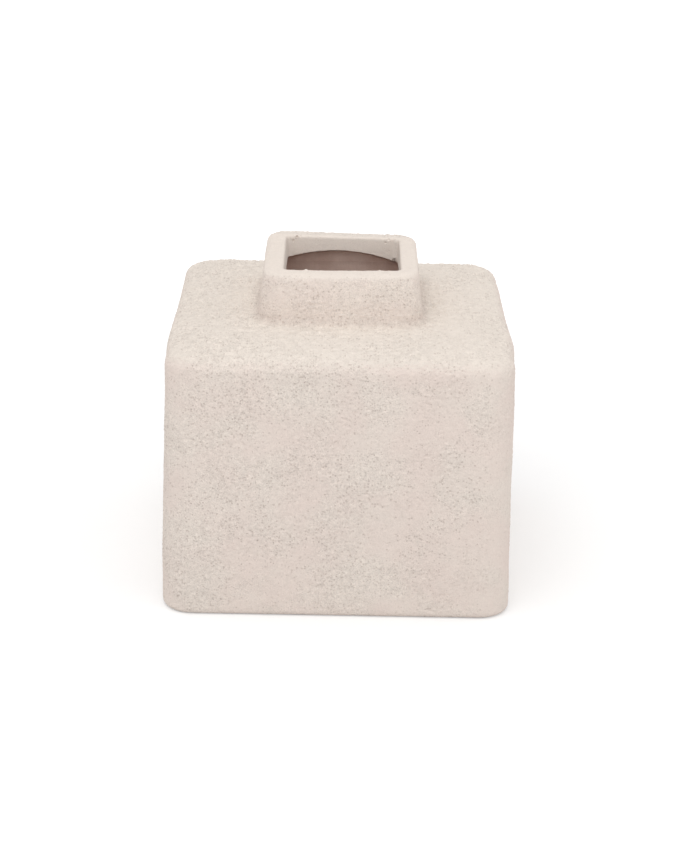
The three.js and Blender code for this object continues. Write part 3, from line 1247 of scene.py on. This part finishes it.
@dataclass
class Vase:
    """The whole vase: raises the skin, hollows it, cuts it into slabs and dresses them."""

    dresser: Dresser
    fine: float
    coarse: float = 2.2 * MM
    rubs: int = 8
    rub_share: float = 0.5
    rub_low: float = 0.5
    rub_high: float = 1.5
    rub_reach: float = 1.3
    body: Body = field(default_factory=Body)
    neck: Neck = field(default_factory=Neck)
    scoop: Scoop = field(default_factory=Scoop)
    joints: Joints = field(default_factory=Joints)
    work: HandWork = field(default_factory=HandWork)

    def raise_clay(self) -> Mesh:
        """Raise the clay of the whole vase.

        Returns:
            One closed mesh, worked by hand outside and hollow inside.
        """
        shells = [self.body.outside(), self.neck.outside(), self.neck.skirt(), self.neck.crumbs()]
        skin = voxel_skin(shells, self.fine, Surface.COAT)
        LOG.info("skin: %d faces", len(skin.faces))
        self.smooth_crease(skin)
        self.work.work(skin)
        room = voxel_skin([self.body.room()], self.coarse, Surface.CLAY)
        clay = carve(skin, room)
        hollow, chips = self.scoop.space(), self.scoop.chips()
        clay = carve(carve(clay, hollow), chips)
        for mesh in (room, hollow, chips):
            mesh.free()
        return clay

    def smooth_crease(self, skin: Mesh) -> None:
        """Rub the angle round the neck's foot smooth.

        Args:
            skin: Skin of the vase.
        """
        coil = self.neck.coil
        low, high = self.neck.foot - self.rub_low * coil, self.neck.foot + self.rub_high * coil
        reach = self.neck.foot_half + self.rub_reach * coil
        angle = [v for v in skin.verts if low < v.co.z < high]
        verts = [v for v in angle if max(abs(v.co.x), abs(v.co.y)) < reach]
        for _ in range(self.rubs):
            bmesh.ops.smooth_vert(skin, verts=verts, factor=self.rub_share, use_axis_x=True,
                                  use_axis_y=True, use_axis_z=True)

    def quarters(self, ring: Mesh, stem: str, slot: str) -> None:
        """Cut a ring at its mitres into four pieces.

        Args:
            ring: Closed ring, which is freed.
            stem: Pattern of the pieces' names, with the side's word left open.
            slot: Record slot of the pieces.
        """
        for side in Side:
            quarter = ring.copy()
            for normal in side.mitres():
                slice_off(quarter, Vector((0, 0, 0)), normal)
            name = stem.format(side.word)
            self.dresser.piece(quarter, f"{name}_clay", slot, (name,))
        ring.free()

    def neck_foot(self, upper: Mesh) -> None:
        """Part the shoulder, the coil and the strips of the neck.

        Args:
            upper: Clay from the walls' top to the lip, which is freed.
        """
        seam = self.neck.coil_seam()
        reach = self.neck.half(self.neck.foot + self.neck.coil) + self.neck.coil
        around = carve(cutting_block(2 * reach, self.joints.wall_top - PAST, self.neck.rim), seam)
        self.dresser.piece(carve(upper.copy(), around), "neck_coil_clay", "coat", ("neck_coil",))
        freed = carve(upper, seam)
        strips = freed.copy()
        clear = self.neck.foot_half + self.neck.coil / 2
        for side in Side:
            slice_off(strips, side.outward() * clear, side.outward())
        level_cut(strips, self.joints.neck_foot, keep_below=False)
        self.quarters(strips, "neck_{}", "coat")
        plug = cutting_block(clear, self.joints.neck_foot, self.neck.rim)
        self.dresser.piece(carve(freed, plug), "shoulder_slab_clay", "coat", ("shoulder_slab",))
        for mesh in (seam, around, plug):
            mesh.free()

    def build(self) -> None:
        """Build every slab, strip and coil that shows the coat."""
        clay = self.raise_clay()
        lip = clay.copy()
        level_cut(lip, self.joints.lip, keep_below=False)
        self.dresser.piece(lip, "lip_slab_clay", "rim_coat", ("lip_slab",))
        level_cut(clay, self.joints.lip, keep_below=True)
        upper = clay.copy()
        level_cut(upper, self.joints.wall_top, keep_below=False)
        self.neck_foot(upper)
        level_cut(clay, self.joints.wall_top, keep_below=True)
        walls = clay.copy()
        level_cut(walls, self.joints.base, keep_below=False)
        self.quarters(walls, "{}_wall", "coat")
        level_cut(clay, self.joints.base, keep_below=True)
        level = [f for f in clay.faces if f.normal.z < STRAIGHT_DOWN]
        under = [f for f in level if f.calc_center_median().z < WELD]
        bmesh.ops.dissolve_faces(clay, faces=under, use_verts=False)
        self.dresser.piece(clay, "base_slab_clay", "coat", ("base_slab",))


@dataclass
class InsideCoils:
    """Coils pressed into the seams inside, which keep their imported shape."""

    clay: Material
    names: tuple[str, ...] = ("base_coil", "shoulder_coil", "corner_coil_front_right",
                              "corner_coil_back_right", "corner_coil_back_left",
                              "corner_coil_front_left")

    def dress(self) -> None:
        """Give each coil the bare clay's finish."""
        for name in self.names:
            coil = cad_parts[name]
            coil.data.materials.clear()
            coil.data.materials.append(self.clay)
            LOG.info("%s: keeps its packed shape", name)


@dataclass(frozen=True)
class Lamp:
    """A large soft lamp: where it hangs, the edge length of its square and its power."""

    name: str
    place: tuple[float, float, float]
    size: float
    watts: float


@dataclass
class Studio:
    """Floor, lights and camera."""

    floor_size: float = 9.0
    floor_tone: Colour = (0.80, 0.80, 0.80)
    floor_lift: Ends = (0.22, 0.45)
    lift_reach: Ends = (0.15, 0.60)
    sky: float = 0.82
    sky_tone: Colour = (1.0, 1.0, 1.0)
    lamps: tuple[Lamp, ...] = (Lamp("front", (-0.35, -1.5, 0.9), 1.2, 2.95),
                               Lamp("side", (1.4, -0.55, 0.55), 1.0, 2.8),
                               Lamp("above", (-0.30, -0.5, 1.55), 1.2, 6.4))
    aim: tuple[float, float, float] = (0.0, 0.0, 70 * MM)
    focal_pixels: float = 2143.157
    picture_height: float = 849
    sensor: float = 36.0
    eye: tuple[float, float, float] = (0.4077 * MM, -925.923 * MM, 420.775 * MM)
    pitch: float = 21.2309
    roll: float = 1.0071

    def build(self) -> None:
        """Set up the floor, the lights, the world and the camera."""
        self.floor()
        self.world()
        for lamp in self.lamps:
            self.hang(lamp)
        self.camera()
        bpy.context.scene.view_settings.view_transform = "Standard"

    def floor(self) -> None:
        """A plain pale floor that keeps the vase's shadow."""
        grid = bmesh.new()
        bmesh.ops.create_grid(grid, x_segments=1, y_segments=1, size=self.floor_size / 2)
        mesh = bpy.data.meshes.new("floor")
        grid.to_mesh(mesh)
        grid.free()
        plane = put(mesh, "floor")
        board = NodeBoard(bpy.data.materials.new("pale_floor"))
        matt = board.add("ShaderNodeBsdfDiffuse")
        matt.inputs["Color"].default_value = (*self.floor_tone, 1.0)
        glow = board.add("ShaderNodeEmission")
        away = board.add("ShaderNodeVectorMath", operation="LENGTH")
        board.link(board.add("ShaderNodeTexCoord").outputs["Object"], away.inputs[0])
        lift = board.ease(away.outputs["Value"], *self.lift_reach, *self.floor_lift)
        board.link(board.times(board.seen(), lift), glow.inputs["Strength"])
        both = board.add("ShaderNodeAddShader")
        board.link(matt.outputs["BSDF"], both.inputs[0])
        board.link(glow.outputs["Emission"], both.inputs[1])
        output = board.add("ShaderNodeOutputMaterial")
        board.link(both.outputs["Shader"], output.inputs["Surface"])
        mesh.materials.append(board.owner)

    def world(self) -> None:
        """An even sky that lights from all round and shows as white."""
        board = NodeBoard(bpy.data.worlds.new("studio"))
        sky = board.add("ShaderNodeBackground")
        sky.inputs["Color"].default_value = (*self.sky_tone, 1.0)
        board.link(board.spread(board.seen(), (self.sky, 1.0)), sky.inputs["Strength"])
        output = board.add("ShaderNodeOutputWorld")
        board.link(sky.outputs["Background"], output.inputs["Surface"])
        bpy.context.scene.world = board.owner

    def hang(self, lamp: Lamp) -> None:
        """Hang a lamp so that it looks at the vase.

        Args:
            lamp: Lamp to hang.
        """
        data = bpy.data.lights.new(lamp.name, "AREA")
        data.size = lamp.size
        data.energy = lamp.watts
        look = (Vector(self.aim) - Vector(lamp.place)).to_track_quat("-Z", "Y")
        put(data, lamp.name).matrix_world = Matrix.Translation(lamp.place) @ look.to_matrix().to_4x4()

    def camera(self) -> None:
        """A camera at the photograph's viewing angle, with its slight roll."""
        data = bpy.data.cameras.new("camera")
        data.sensor_fit = "VERTICAL"
        data.sensor_height = self.sensor
        data.sensor_width = self.sensor
        data.lens = self.focal_pixels * self.sensor / self.picture_height
        camera = put(data, "camera")
        tilt = Matrix.Rotation(math.radians(90 - self.pitch), 4, "X")
        turn = Matrix.Rotation(math.radians(self.roll), 4, "Z")
        camera.matrix_world = Matrix.Translation(self.eye) @ tilt @ turn
        bpy.context.scene.camera = camera


def main() -> None:
    """Build the vase and its studio."""
    logging.basicConfig(level=logging.INFO, format="%(name)s %(message)s")
    coat = SandyCoat().material()
    clay = BareClay().material()
    fine = FINE_SKIN
    Vase(Dresser(coat, clay), fine).build()
    InsideCoils(clay).dress()
    Studio().build()


if __name__ == "__main__":
    main()
